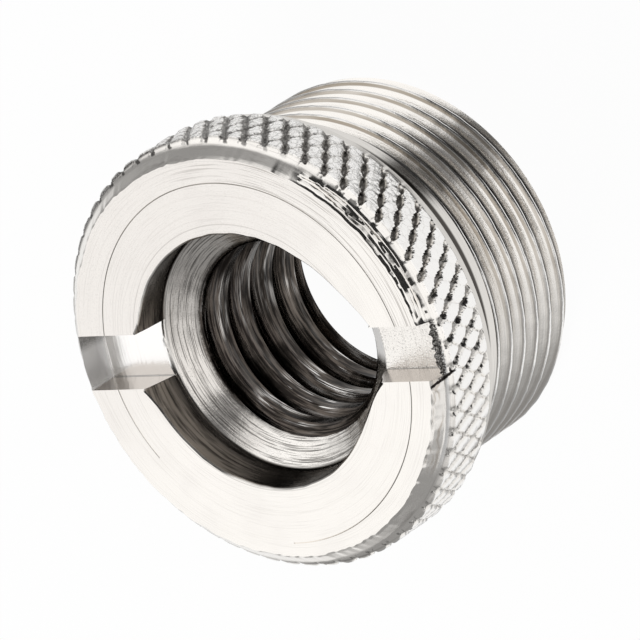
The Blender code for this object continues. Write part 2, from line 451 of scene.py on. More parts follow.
def bore():
    """The hole with its recess, drill-point cone and exit sink."""
    columns = FEMALE_COLUMNS + 1
    angles = np.arange(columns) / columns * TAU
    degrees = np.degrees(angles)
    eased = mouth_ease(degrees)
    oval = MOUTH_SHIFT * np.cos(angles - MOUTH_SHIFT_TURN)
    mouth = RECESS_RADIUS - 0.02 + eased + oval + 0.02 * ring_noise(7, angles, 90)
    near_slot = hump(degrees, TORN_TURN, TORN_SPREAD)
    torn = near_slot * (0.10 + 0.12 * ring_noise(8, angles, 150))
    edge = HOLE_RADIUS + 0.035 * ring_noise(9, angles, 120)
    hole_top = RECESS_DEPTH + (RECESS_RADIUS - HOLE_RADIUS) * DRILL_SLOPE
    hole_end = LENGTH - (SINK_RADIUS - HOLE_RADIUS)
    return lathe("bore", [
        (mouth + MOUTH_CHAMFER + OVERCUT, -OVERCUT),
        (mouth, MOUTH_CHAMFER),
        (RECESS_RADIUS + EASED_SHARES[0] * eased + EASED_SHARES[1] * oval, EASED_DEPTH),
        (RECESS_RADIUS + torn, SLOT_DEPTH - 0.02),
        (RECESS_RADIUS, RECESS_DEPTH - 0.10),
        (RECESS_RADIUS - 0.03, RECESS_DEPTH - 0.03),
        (RECESS_RADIUS - 0.12, RECESS_DEPTH + 0.03),
        (RECESS_RADIUS - 0.17, RECESS_DEPTH + 0.062),
        (edge + 0.16, hole_top - 0.095),
        (edge + 0.06, hole_top - 0.03),
        (HOLE_RADIUS, hole_top + 0.08),
        (HOLE_RADIUS, hole_end - 0.04),
        (HOLE_RADIUS + 0.04, hole_end + 0.04),
        (SINK_RADIUS + OVERCUT, LENGTH + OVERCUT),
    ], columns)


def female_thread():
    profile = thread_profile(HOLE_RADIUS - 0.1, FEMALE_ROOT, FEMALE_PITCH, 0.05, 0.03, 16)
    return helix("female_rod", profile, FEMALE_PITCH, LENGTH - RECESS_DEPTH,
                 FEMALE_TURN, FEMALE_COLUMNS, FEMALE_WEAR, 33)


def slot():
    """The slot, ragged at its right end and rounded at the foot of its left."""
    across = np.linspace(-SLOT_SIDE, SLOT_SIDE, 25)
    path = (across / SLOT_SIDE + 1) * 3
    torn = 0.05 * ring_noise(70, path, 48) + 0.02 * ring_noise(71, path, 110)
    torn = np.minimum(torn, SLOT_TORN)
    levels = [(-OVERCUT, 0.0)]
    for turn in np.radians(np.linspace(0, 90, 8)):
        levels.append((SLOT_DEPTH - SLOT_FOOT * (1 - math.sin(turn)),
                       SLOT_FOOT * (1 - math.cos(turn))))
    points = []
    for depth, shift in levels:
        outline = [(SLOT_REACH + end, y) for y, end in zip(across, torn)]
        outline += [(shift - SLOT_REACH, SLOT_SIDE), (shift - SLOT_REACH, -SLOT_SIDE)]
        points += [(x, y, height(depth)) for x, y in outline]
    count = len(across) + 2
    faces = [*end_discs(len(levels), count), *quads(len(levels), count)]
    return mesh_object("slot", points, faces)


def spiral_line():
    """A three-sided rod that cuts the fine line into the slotted face."""
    turns = np.radians([angle for angle, radius in SPIRAL])
    angles = np.linspace(turns[0], turns[-1], SPIRAL_POINTS)
    radii = np.interp(angles, turns, [radius for angle, radius in SPIRAL])
    kernel = np.hanning(SPIRAL_EASE)
    padded = np.pad(radii, SPIRAL_EASE // 2, mode="edge")
    radii = np.convolve(padded, kernel / kernel.sum(), mode="valid")
    points = []
    for angle, radius in zip(angles, radii):
        for away, depth in ((-LINE_HALF, -LINE_DEPTH), (LINE_HALF, -LINE_DEPTH), (0, LINE_DEPTH)):
            reach = radius + away
            points.append((reach * math.cos(angle), reach * math.sin(angle), height(depth)))
    faces = [*quads(SPIRAL_POINTS, 3), *end_discs(SPIRAL_POINTS, 3)]
    return mesh_object("spiral_line", points, faces)


def build_adapter():
    body = knurled_head()
    for tool, operation in ((neck(), "UNION"), (male_thread(), "UNION"),
                            (bore(), "DIFFERENCE"), (female_thread(), "DIFFERENCE"),
                            (slot(), "DIFFERENCE"), (spiral_line(), "DIFFERENCE")):
        carve(body, tool, operation)
    body.data.shade_smooth()
    body.data.set_sharp_from_angle(angle=SHARP)
    for face in body.data.polygons:
        on_side = abs(abs(face.center.y) / MM - SLOT_SIDE) < TOUCH
        if abs(face.normal.z) > LEVEL or on_side:
            face.use_smooth = False
    return body


class Graph:
    """A node tree with short calls for the nodes that this file needs."""

    def __init__(self, tree):
        self.tree = tree

    def node(self, kind, **settings):
        made = self.tree.nodes.new(kind)
        for name, value in settings.items():
            setattr(made, name, value)
        return made

    def feed(self, socket, value):
        if isinstance(value, bpy.types.NodeSocket):
            self.tree.links.new(value, socket)
        else:
            socket.default_value = value

    def math(self, operation, *values):
        made = self.node("ShaderNodeMath", operation=operation)
        for socket, value in zip(made.inputs, values):
            self.feed(socket, value)
        return made.outputs[0]

    def chain(self, operation, values):
        result = values[0]
        for value in values[1:]:
            result = self.math(operation, result, value)
        return result

    def product(self, *values):
        return self.chain("MULTIPLY", values)

    def total(self, *values):
        return self.chain("ADD", values)

    def largest(self, *values):
        return self.chain("MAXIMUM", values)

    def less(self, one, other):
        return self.math("SUBTRACT", one, other)

    def apart(self, one, other):
        return self.math("ABSOLUTE", self.less(one, other))

    def rise(self, value, low, high, start=0.0, stop=1.0):
        """From start to stop, smoothly, as the value goes from low to high."""
        made = self.node("ShaderNodeMapRange", interpolation_type="SMOOTHSTEP")
        self.feed(made.inputs["Value"], value)
        made.inputs["From Min"].default_value = low
        made.inputs["From Max"].default_value = high
        made.inputs["To Min"].default_value = start
        made.inputs["To Max"].default_value = stop
        return made.outputs["Result"]

    def fall(self, value, low, high):
        """From 1 to 0 as the value goes from low to high."""
        return self.rise(value, low, high, 1.0, 0.0)

    def within(self, value, low, high, ease):
        """1 between low and high, and 0 outside."""
        return self.product(self.rise(value, low - ease, low + ease),
                            self.fall(value, high - ease, high + ease))

    def noise(self, vector, scale, detail=2.0, rough=0.5):
        made = self.node("ShaderNodeTexNoise", noise_dimensions="3D")
        self.feed(made.inputs["Vector"], vector)
        made.inputs["Scale"].default_value = scale
        made.inputs["Detail"].default_value = detail
        made.inputs["Roughness"].default_value = rough
        return made.outputs["Fac"]

    def crackle(self, vector, scale):
        """The distance to the nearest edge between small cells."""
        made = self.node("ShaderNodeTexVoronoi", feature="DISTANCE_TO_EDGE")
        self.feed(made.inputs["Vector"], vector)
        made.inputs["Scale"].default_value = scale
        return made.outputs["Distance"]

    def vector(self, x, y, z):
        made = self.node("ShaderNodeCombineXYZ")
        for socket, value in zip(made.inputs, (x, y, z)):
            self.feed(socket, value)
        return made.outputs[0]

    def parts(self, vector):
        """The x, y and z of a vector."""
        made = self.node("ShaderNodeSeparateXYZ")
        self.feed(made.inputs[0], vector)
        return made.outputs

    def length(self, x, y):
        return self.math("SQRT", self.total(self.product(x, x), self.product(y, y)))

    def toward(self, x, y, angle):
        """How far a place lies toward an angle round the axis."""
        return self.total(self.product(x, math.cos(angle)), self.product(y, math.sin(angle)))

    def blend(self, share, one, other):
        """The colour one where the share is 0 and other where it is 1."""
        made = self.node("ShaderNodeMix", data_type="RGBA")
        self.feed(made.inputs["Factor"], share)
        self.feed(made.inputs[6], one)
        self.feed(made.inputs[7], other)
        return made.outputs[2]

    def mixed(self, share, one, other):
        """The shader one where the share is 0 and other where it is 1."""
        made = self.node("ShaderNodeMixShader")
        self.feed(made.inputs["Fac"], share)
        self.feed(made.inputs[1], one)
        self.feed(made.inputs[2], other)
        return made.outputs[0]


PLATE = (0.950, 0.917, 0.872, 1)
# A pale tint for worn crests and for painted highlights
WEAR_AND_HIGHLIGHT_TINT = (1.0, 0.985, 0.965, 1)
LINE_TINT = (0.46, 0.43, 0.40, 1)
# A dull tint for random clouds and for painted shade
DULL_AND_SHADE_TINT = (0.74, 0.70, 0.67, 1)
# Painted shade on the thread's flanks
BROWN_SHADE_TINT = (0.40, 0.35, 0.29, 1)
# A dark tint for dirt and marks, and for painted shade
DIRT_AND_SHADE_TINT = (0.085, 0.078, 0.07, 1)
PIT_TINT = (0.030, 0.027, 0.024, 1)
RECESS_TINT = (0.095, 0.085, 0.076, 1)
BORE_TINT = (0.020, 0.017, 0.015, 1)
BORE_BROWN = (0.130, 0.110, 0.094, 1)
STREAK_TINT = (0.80, 0.77, 0.74, 1)
NECK_TINT = (0.60, 0.58, 0.55, 1)
FILM_TINT = (0.50, 0.43, 0.36, 1)
SLOT_TINT = (0.52, 0.47, 0.43, 1)

# Noise: scale, detail and roughness. Before these, each of the three marks of
# turning says how much it varies round the axis
GRAIN = (13.0, 3.0, 0.6)
SPECK = (34.0, 1.0, 0.5)
CLOUD = (0.55, 2.0, 0.5)
BEND = (2.6, 2.0, 0.6)
HAIR = (0.10, 26.0, 2.0, 0.6)
FINE = (0.25, 9.0, 4.0, 0.65)
BROAD = (0.45, 2.4, 3.0, 0.6)
MARK_LEAN = 0.6
CRACK_SCALE = 2.6
OUTLINE_BEND = 0.55

BUMP_STRENGTH = 0.6
BUMP_HEIGHT = 0.022


class Plate(Graph):
    """Bright nickel over turned metal. Its marks run round the axis. It is worn
    bright on the crests, dull and dark with painted shade in the roots, the recess and the bore,
    and has painted highlights in a few places.
    From face() to near_edge(), each method paints over what the last ones left."""

    def __init__(self, tree):
        super().__init__(tree)
        scaled = self.node("ShaderNodeVectorMath", operation="SCALE")
        self.feed(scaled.inputs[0], self.node("ShaderNodeTexCoord").outputs["Object"])
        scaled.inputs["Scale"].default_value = 1 / MM
        self.place = scaled.outputs[0]
        self.x, self.y, z = self.parts(self.place)
        self.radius = self.length(self.x, self.y)
        self.depth = self.less(LENGTH, z)
        self.away_y = self.math("ABSOLUTE", self.y)
        self.round_x = self.math("DIVIDE", self.x, self.radius)
        self.round_y = self.math("DIVIDE", self.y, self.radius)
        self.along = self.total(self.radius, self.product(z, MARK_LEAN))
        self.hair = self.marks(*HAIR)
        self.fine = self.marks(*FINE)
        self.broad = self.marks(*BROAD)
        self.grain = self.noise(self.place, *GRAIN)
        self.speck = self.noise(self.place, *SPECK)
        self.colour = PLATE

    def facing(self, degrees):
        """1 at this angle round the axis, 0 a quarter turn away from it."""
        return self.toward(self.round_x, self.round_y, math.radians(degrees))

    def side(self, degrees, low, high, start=0.0, stop=1.0):
        """From start to stop, as a place faces this angle more."""
        return self.rise(self.facing(degrees), low, high, start, stop)

    def marks(self, length, scale, detail, rough):
        """Noise that is long round the axis and short across it."""
        place = self.vector(self.along, self.product(self.round_x, length),
                            self.product(self.round_y, length))
        return self.noise(place, scale, detail, rough)

    def paint(self, tint, *shares):
        """Lay a tint over the colour, by the product of the shares."""
        self.colour = self.blend(self.product(*shares), self.colour, tint)

    def places(self):
        """Masks of the places that more than one of the methods needs."""
        self.on_face = self.product(self.fall(self.depth, 0.01, 0.02),
                                    self.rise(self.radius, 5.0, 5.1))
        self.on_cone = self.product(
            self.fall(self.radius, RECESS_RADIUS - 0.07, RECESS_RADIUS - 0.03),
            self.within(self.depth, RECESS_DEPTH + 0.01, 2.5, 0.03))
        self.in_slot = self.product(
            self.fall(self.away_y, SLOT_SIDE + 0.005, SLOT_SIDE + 0.015),
            self.rise(self.radius, RECESS_RADIUS + 0.01, RECESS_RADIUS + 0.03),
            self.fall(self.radius, BAND_RADIUS - 0.05, BAND_RADIUS - 0.01),
            self.within(self.depth, 0.015, 1.6, 0.01))
        self.slot_floor = self.product(
            self.in_slot, self.rise(self.depth, SLOT_DEPTH - 0.015, SLOT_DEPTH - 0.005))
        self.slot_left = self.fall(self.x, 0.0, 1.0)
        self.gritty = self.product(self.slot_floor, self.less(1.0, self.slot_left))
        self.past_band = self.rise(self.radius, BAND_RADIUS + 0.01, BAND_RADIUS + 0.02)
        self.on_rim = self.product(self.past_band, self.within(self.depth, 0.64, 3.14, 0.04))
        self.on_shank = self.product(self.rise(self.radius, 7.2, 7.25),
                                     self.rise(self.depth, NECK_END + 0.01, NECK_END + 0.03),
                                     self.fall(self.depth, LENGTH - 0.03, LENGTH - 0.02))

    def face(self):
        """Faint clouds everywhere, and on the face a side darkened by painted shade, specks,
        turned lines, a ring at the mouth and the spiral line, dark with painted shade."""
        cloud = self.noise(self.place, *CLOUD)
        self.paint(DULL_AND_SHADE_TINT, self.rise(cloud, 0.42, 0.72, 0.0, 0.16))
        # Painted shade: the face is darker on the side that faces 125 degrees.
        self.paint(DULL_AND_SHADE_TINT, self.on_face, self.side(125, -0.3, 0.9, 0.0, 0.42))
        self.paint(LINE_TINT, self.on_face, self.rise(self.speck, 0.58, 0.68),
                   self.side(110, 0.1, 0.8, 0.05, 0.30))
        outer = self.product(self.rise(self.radius, 7.2, 7.5), self.side(50, 0.5, 0.85, 0.0, 0.65))
        lines = self.product(self.on_face, self.rise(self.hair, 0.52, 0.66),
                             self.total(0.14, outer))
        ring = self.total(5.63, self.product(self.facing(120), 0.03))
        ring = self.product(self.on_face,
                            self.rise(self.apart(self.radius, ring), 0.012, 0.035, 0.45, 0.0),
                            self.rise(self.broad, 0.40, 0.52, 0.35, 1.0))
        self.paint(LINE_TINT, self.largest(lines, ring))
        # Painted shade in the spiral line's groove, fading out on the side that faces -118
        # degrees.
        self.paint(DIRT_AND_SHADE_TINT, self.within(self.radius, 6.9, 8.0, 0.02),
                   self.rise(self.away_y, SLOT_SIDE + 0.01, SLOT_SIDE + 0.02),
                   self.within(self.depth, 0.003, 0.06, 0.001),
                   self.side(-118, 0.45, 0.88, 0.65, 0.0),
                   self.rise(self.broad, 0.35, 0.6, 0.6, 1.0))

    def turned_lines(self):
        """Fine lines everywhere but on the face, weaker on the shank."""
        strength = self.less(0.45, self.product(self.on_shank, 0.30))
        self.paint(LINE_TINT, self.less(1.0, self.on_face), self.rise(self.fine, 0.53, 0.68),
                   strength)

    def cone(self):
        """A brown side, close dark lines and specks, two rings, and painted shade along the inner
        edge.
        """
        self.paint(SLOT_TINT, self.on_cone, self.side(180, 0.2, 0.8), 0.35)
        lines = self.largest(self.rise(self.hair, 0.53, 0.59), self.rise(self.speck, 0.64, 0.70))
        self.paint(DIRT_AND_SHADE_TINT, self.on_cone, lines, 0.72)
        rings = self.largest(self.within(self.radius, 5.08, 5.12, 0.012),
                             self.within(self.radius, 4.70, 4.73, 0.012))
        self.paint(DIRT_AND_SHADE_TINT, self.on_cone, rings, self.rise(self.fine, 0.40, 0.52), 0.85)
        # Painted shade along the cone's inner edge, where it drops into the hole.
        edge = self.total(self.radius, self.product(self.grain, 0.25))
        self.paint(DIRT_AND_SHADE_TINT, self.on_cone, self.rise(edge, 4.24, 4.30, 0.9, 0.0))

    def recess(self):
        """A wall darkened by painted shade, but for a painted lit patch, with a brown film on its
        left side.
        """
        in_recess = self.product(
            self.within(self.radius, 5.1, 6.4, 0.03),
            self.within(self.depth, 0.05, RECESS_DEPTH - 0.01, 0.03),
            self.rise(self.away_y, SLOT_SIDE + 0.015, SLOT_SIDE + 0.025))
        # Painted shade: the recess wall is darkened, except for a painted lit patch on the side
        # that faces 212 degrees.
        lit = self.product(self.side(212, 0.70, 0.97, 0.0, 0.55), self.rise(self.fine, 0.35, 0.65),
                           self.rise(self.depth, 0.9, 1.4, 1.0, 0.4))
        self.paint(RECESS_TINT, in_recess, self.less(1.0, lit))
        self.film = self.product(in_recess, self.side(203, 0.40, 0.96),
                                 self.rise(self.fine, 0.30, 0.62, 0.35, 1.0),
                                 self.rise(self.depth, 0.9, 1.5, 1.0, 0.35))
        self.paint(FILM_TINT, self.film)

    def bore(self):
        """Darkened by painted shade, with worn streaks along the crests that are brightened
        on two sides as painted highlights, and painted glints.
        """
        in_bore = self.product(self.fall(self.radius, 4.88, 4.95),
                               self.within(self.depth, 2.35, 10.15, 0.12))
        streaks = self.product(self.rise(self.broad, 0.46, 0.58),
                               self.rise(self.hair, 0.42, 0.54))
        # Painted highlights: the worn streaks are brightened on the sides that face 166 and 244
        # degrees.
        bright = self.largest(self.side(166, 0.92, 0.985, 0.0, 0.6), self.side(244, 0.90, 0.985))
        streaks = self.product(streaks, self.total(0.06, bright))
        # Painted shade: the bore is darkened all over, in dark and brown tones.
        painted_bore_shade = self.blend(self.rise(self.fine, 0.42, 0.62), BORE_TINT, BORE_BROWN)
        self.paint(painted_bore_shade, in_bore)
        self.paint(STREAK_TINT, in_bore, self.fall(self.radius, 4.30, 4.60), streaks, 0.2)
        self.paint(STREAK_TINT, in_bore, self.fall(self.radius, 4.03, 4.14), streaks)
        # Painted glints on the crests that face 244 degrees.
        self.paint(WEAR_AND_HIGHLIGHT_TINT, in_bore, self.side(244, 0.93, 0.985), self.fall(self.radius, 4.10, 4.25),
                   self.rise(self.hair, 0.54, 0.60), self.rise(self.broad, 0.45, 0.52))

    def slot(self):
        """Brown walls with painted shade at their foot, a gritty floor on the right, and on
        the left a floor and end painted bright as a painted highlight, with a dark smudge."""
        wall = self.product(self.less(self.in_slot, self.slot_floor),
                            self.rise(self.away_y, SLOT_SIDE - 0.010, SLOT_SIDE - 0.003))
        smudge = self.product(self.in_slot, self.fall(self.x, -8.45, -8.2),
                              self.rise(self.y, 0.2, 0.7),
                              self.rise(self.speck, 0.30, 0.55, 0.35, 1.0))
        self.paint(SLOT_TINT, wall, 0.85)
        # Painted shade along the foot of the walls.
        foot = self.product(wall, self.rise(self.depth, 1.38, 1.46))
        grit = self.product(self.gritty, self.rise(self.grain, 0.56, 0.64), 0.35)
        self.paint(DIRT_AND_SHADE_TINT, self.largest(foot, self.product(smudge, 0.75), grit))
        # Painted highlight: the left end and the left floor are painted pale, and the end is made
        # less metallic.
        self.slot_end_highlight = self.product(self.in_slot, self.fall(self.x, -8.40, -8.24))
        left_floor_highlight = self.product(self.slot_floor, self.slot_left, 0.9)
        self.paint(WEAR_AND_HIGHLIGHT_TINT, self.largest(self.slot_end_highlight, left_floor_highlight))
        self.paint(DIRT_AND_SHADE_TINT, smudge, 0.8)

    def groove(self, operation):
        """How far a place is from the knurl's nearest groove, as a share of the
        pitch. The line wanders a little."""
        turned = self.product(self.math("ARCTAN2", self.y, self.x), 180 / math.pi)
        lean = self.product(self.less(self.depth, KNURL_DEPTH_PHASE), KNURL_SLOPE)
        share = self.math(operation, self.less(turned, KNURL_PHASE), lean)
        bend = self.less(self.noise(self.place, *BEND), 0.5)
        share = self.total(self.math("DIVIDE", share, KNURL_PITCH),
                           self.product(bend, OUTLINE_BEND))
        return self.apart(share, self.math("ROUND", share))

    def rim(self):
        """Painted shade in the knurl's roots, crusted patches and cracks at its upper left,
        painted shade as outlines round its teeth there and at the lower right, and bright crests."""
        upper_left = self.side(118, 0.50, 0.85)
        first = self.groove("SUBTRACT")
        second = self.groove("ADD")
        crust_and_shade = self.largest(
            self.product(self.on_rim, self.fall(self.radius, 9.085, 9.125),
                         self.side(112, 0.50, 0.8), self.rise(self.grain, 0.40, 0.46, 0.35, 1.0)),
            self.product(self.on_rim, self.side(105, 0.50, 0.8),
                         self.rise(self.grain, 0.52, 0.56)),
            self.product(self.on_rim, self.side(5, 0.955, 0.985),
                         self.rise(self.grain, 0.56, 0.60)))
        cracks = self.crackle(self.place, CRACK_SCALE)
        cracks = self.product(self.on_rim, self.side(95, 0.10, 0.70),
                              self.rise(cracks, 0.04, 0.11, 0.75, 0.0),
                              self.rise(self.speck, 0.40, 0.56))
        # Painted shade along the edges of the grooves, at the lower right and the upper left.
        outline = self.product(
            self.largest(self.fall(first, 0.035, 0.075), self.rise(second, 0.025, 0.06, 0.6, 0.0)),
            self.past_band, self.within(self.depth, 0.56, 3.14, 0.02),
            self.largest(self.side(-58, 0.62, 0.90), upper_left),
            self.rise(self.speck, 0.38, 0.56, 0.25, 1.0))
        # Painted shade along the first groove in the top rows, at the upper left.
        bead = self.product(self.fall(first, 0.06, 0.14), self.past_band,
                            self.within(self.depth, 0.54, 0.80, 0.02), upper_left)
        # Crust and cracks, with the painted shade of the outlines and the bead.
        crust_and_shade = self.product(self.largest(crust_and_shade, cracks, outline, bead), 0.82)
        # Painted shade in the knurl's roots, strongest on the side that faces 40 degrees.
        root = self.product(self.on_rim, self.fall(self.radius, 9.00, 9.075),
                            self.rise(self.grain, 0.3, 0.5, 1.0, 0.75),
                            self.side(40, 0.70, 0.95, 0.62, 1.0))
        self.paint(PIT_TINT, self.largest(root, crust_and_shade))
        clean = self.less(1.0, self.product(self.largest(outline, cracks), 0.9))
        self.paint(WEAR_AND_HIGHLIGHT_TINT, self.on_rim, self.rise(self.radius, 9.09, 9.14), clean)

    def land_and_neck(self):
        """Both a little grey, and the neck dark with painted shade but for a ring near its foot.
        """
        on_neck = self.product(self.within(self.radius, 7.8, 8.0, 0.01),
                               self.within(self.depth, SHOULDER_DEPTH, 5.58, 0.02))
        # Painted shade on the neck below the head and at its foot.
        neck_shade = self.largest(self.fall(self.depth, 4.93, 5.05), self.rise(self.depth, 5.42, 5.46))
        self.paint(NECK_TINT, self.rise(self.radius, 8.5, 8.6),
                   self.rise(self.depth, LAND_START - 0.02, LAND_START + 0.01), 0.6)
        self.paint(NECK_TINT, on_neck, 0.4)
        self.paint(DIRT_AND_SHADE_TINT, on_neck, neck_shade)

    def broken_edge(self):
        """The dark torn metal past the slot's right end, and the chip below it."""
        ragged = self.total(self.radius, self.product(self.grain, 0.3))
        torn = self.product(self.rise(self.x, 8.50, 8.58), self.fall(ragged, 9.02, 9.08),
                            self.fall(self.away_y, 1.16, 1.35), self.fall(self.depth, 0.95, 1.15),
                            self.rise(self.speck, 0.36, 0.44))
        chip = self.total(self.product(self.total(self.x, -8.597), 0.508),
                          self.product(self.total(self.y, 1.269), -0.861),
                          self.product(self.grain, 0.12))
        chip = self.product(self.fall(self.apart(chip, 0.06), 0.04, 0.07),
                            self.rise(self.x, 8.27, 8.32), self.fall(self.away_y, 1.50, 1.56),
                            self.fall(self.y, -1.0, -0.9), self.fall(self.depth, 0.75, 0.9))
        return self.largest(chip, torn)

    def band(self):
        """Brown lines and a bright edge on the band below the slot's right end,
        and the broken edge."""
        broken = self.broken_edge()
        self.on_band = self.product(self.within(self.radius, FACE_RADIUS, 8.92, 0.02),
                                    self.within(self.depth, 0.05, 0.62, 0.02),
                                    self.side(-17, 0.93, 0.975), self.less(1.0, broken))
        self.paint(FILM_TINT, self.on_band, self.rise(self.hair, 0.46, 0.58), 0.6)
        self.paint(WEAR_AND_HIGHLIGHT_TINT, self.on_band, self.rise(self.radius, 8.78, 8.82))
        self.paint(BORE_TINT, broken)

    def shank(self):
        """Painted shade in the roots, a brown painted shade on the flanks, and bright crests."""
        # Painted shade: the flanks near the crests are browned, most on the side that faces 60
        # degrees.
        self.paint(BROWN_SHADE_TINT, self.on_shank, self.within(self.radius, 7.77, 7.885, 0.02),
                   self.side(60, 0.2, 0.7, 0.25, 1.0), self.rise(self.broad, 0.3, 0.6, 0.5, 1.0))
        # Painted shade in the thread's roots.
        self.paint(DIRT_AND_SHADE_TINT, self.on_shank, self.fall(self.radius, 7.50, 7.56), 0.8)
        self.paint(WEAR_AND_HIGHLIGHT_TINT, self.on_shank, self.rise(self.radius, 7.895, 7.915),
                   self.rise(self.grain, 0.62, 0.7, 1.0, 0.2))

    def near_edge(self):
        """A painted highlight on the edge of the cone below the slot's right end."""
        # Painted highlight: this edge is painted pale and made less metallic.
        self.painted_highlight = self.product(self.within(self.radius, 4.06, RECESS_RADIUS + 0.01, 0.02),
                                 self.within(self.depth, 1.50, 2.98, 0.03),
                                 self.side(4, 0.955, 0.985))
        self.paint(WEAR_AND_HIGHLIGHT_TINT, self.painted_highlight)

    def metallic(self):
        """Less at the painted highlights on the cone's edge and the slot's left end, on the
        scuffed band, and under the film.
        """
        pale = self.largest(self.product(self.largest(self.painted_highlight, self.slot_end_highlight), 0.9),
                            self.product(self.on_band, 0.3), self.product(self.film, 0.85))
        return self.less(1.0, pale)

    def roughness(self):
        return self.total(0.10, self.product(self.fine, 0.14), self.product(self.gritty, 0.10))

    def relief(self):
        """Grain over the turned marks, deepest in the slot and on the rim."""
        grained = self.total(0.10, self.product(self.gritty, 1.4),
                             self.product(self.on_cone, 0.25), self.product(self.on_shank, 0.15),
                             self.product(self.on_rim, self.side(105, 0.3, 0.75, 0.25, 2.6)))
        bump = self.node("ShaderNodeBump")
        bump.inputs["Strength"].default_value = BUMP_STRENGTH
        bump.inputs["Distance"].default_value = BUMP_HEIGHT * MM
        self.feed(bump.inputs["Height"], self.total(
            self.product(self.fine, 0.5), self.product(self.broad, 0.4),
            self.product(self.grain, grained)))
        return bump.outputs["Normal"]


def plate_material():
    plate = bpy.data.materials.new("nickel_plate")
    plate.use_nodes = True
    graph = Plate(plate.node_tree)
    graph.places()
    graph.face()
    graph.turned_lines()
    graph.cone()
    graph.recess()
    graph.bore()
    graph.slot()
    graph.rim()
    graph.land_and_neck()
    graph.band()
    graph.shank()
    graph.near_edge()
    surface = plate.node_tree.nodes["Principled BSDF"]
    graph.feed(surface.inputs["Base Color"], graph.colour)
    graph.feed(surface.inputs["Metallic"], graph.metallic())
    graph.feed(surface.inputs["Roughness"], graph.roughness())
    graph.feed(surface.inputs["Normal"], graph.relief())
    return plate


# Camera, at the photograph's viewing angle. Its lens is given by the focal
# length in pixels of the square photograph
CAMERA_PLACE = (0.269056, 0.123681, 0.342888)
CAMERA_RIGHT = (0.79949, -0.23718, -0.55187)
CAMERA_UP = (0.02553, 0.93133, -0.36328)
CAMERA_BACK = (0.60014, 0.27635, 0.75064)
FOCAL_PIXELS = 11303.95
PHOTO_WIDTH = 640
SENSOR_WIDTH = 36


def camera():
    lens = bpy.data.cameras.new("camera")
    lens.lens = FOCAL_PIXELS / PHOTO_WIDTH * SENSOR_WIDTH
    lens.sensor_width = SENSOR_WIDTH
    lens.clip_start = 0.01
    lens.clip_end = 10
    item = linked("camera", lens)
    turn = Matrix((CAMERA_RIGHT, CAMERA_UP, CAMERA_BACK)).transposed()
    item.matrix_world = Matrix.Translation(CAMERA_PLACE) @ turn.to_4x4()
    bpy.context.scene.camera = item


# What the metal mirrors: a white room that is grey near the horizon, and higher
# up on its near side. It has two dark gaps between the lights, a dark corner and
# a low window. Heights are sines of the elevation
GAP_TURN = math.radians(58.0)
GAP_HALF = (math.radians(24.0), math.radians(42.0))
GAP_TOP = (0.62, 0.80)
HIGH_TURN = math.radians(63.0)
HIGH_HALF = (math.radians(10.0), math.radians(30.0))
HIGH_FOOT = (0.50, 0.60)
HIGH_TOP = (0.93, 0.98)
HIGH_SHARE = 0.84
CORNER_TURN = math.radians(24.0)
CORNER_RISE = math.radians(21.0)
CORNER_REACH = (math.radians(25.0), math.radians(37.0))
NEAR_TURN = math.radians(-72.0)
NEAR_HALF = (math.radians(35.0), math.radians(75.0))
NEAR_DROP = 0.42
WINDOW_TURN = math.radians(-40.0)
WINDOW_HALF = (math.radians(12.0), math.radians(42.0))
WINDOW_HEIGHT = (0.22, 0.44)
WINDOW_EASE = 0.12
WINDOW_LIFT = 0.75
HORIZON = (math.radians(10.0), math.radians(34.0))
HORIZON_LEVEL = 0.30
ROOM_LEVEL = 1.05
GAP_LEVEL = 0.02
ROOM_LIGHT = 0.55
LEAST = 0.001


def mirrored_level(graph):
    """The brightness of the room by direction."""
    where = graph.node("ShaderNodeTexCoord").outputs["Generated"]
    x, y, z = graph.parts(where)
    flat = graph.largest(graph.length(x, y), LEAST)

    def beside(turn, half):
        """1 within the inner of two angles from a direction, 0 past the outer."""
        share = graph.math("DIVIDE", graph.toward(x, y, turn), flat)
        return graph.rise(share, math.cos(half[1]), math.cos(half[0]))

    gap = graph.product(beside(GAP_TURN, GAP_HALF), graph.fall(z, *GAP_TOP))
    high_gap = graph.product(beside(HIGH_TURN, HIGH_HALF), graph.rise(z, *HIGH_FOOT),
                             graph.rise(z, *HIGH_TOP, HIGH_SHARE, 0.0))
    corner = graph.node("ShaderNodeVectorMath", operation="DOT_PRODUCT")
    graph.feed(corner.inputs[0], where)
    corner.inputs[1].default_value = (
        math.cos(CORNER_TURN) * math.cos(CORNER_RISE),
        math.sin(CORNER_TURN) * math.cos(CORNER_RISE),
        math.sin(CORNER_RISE),
    )
    corner = graph.rise(corner.outputs["Value"], math.cos(CORNER_REACH[1]),
                        math.cos(CORNER_REACH[0]))
    dark = graph.largest(gap, high_gap, corner)
    near = graph.product(beside(NEAR_TURN, NEAR_HALF), NEAR_DROP)
    window = graph.product(beside(WINDOW_TURN, WINDOW_HALF),
                           graph.within(z, *WINDOW_HEIGHT, WINDOW_EASE), WINDOW_LIFT)
    risen = graph.total(graph.less(z, near), window)
    level = graph.rise(risen, math.sin(HORIZON[0]), math.sin(HORIZON[1]),
                       HORIZON_LEVEL, ROOM_LEVEL)
    return graph.total(graph.product(level, graph.less(1.0, dark)),
                       graph.product(dark, GAP_LEVEL))


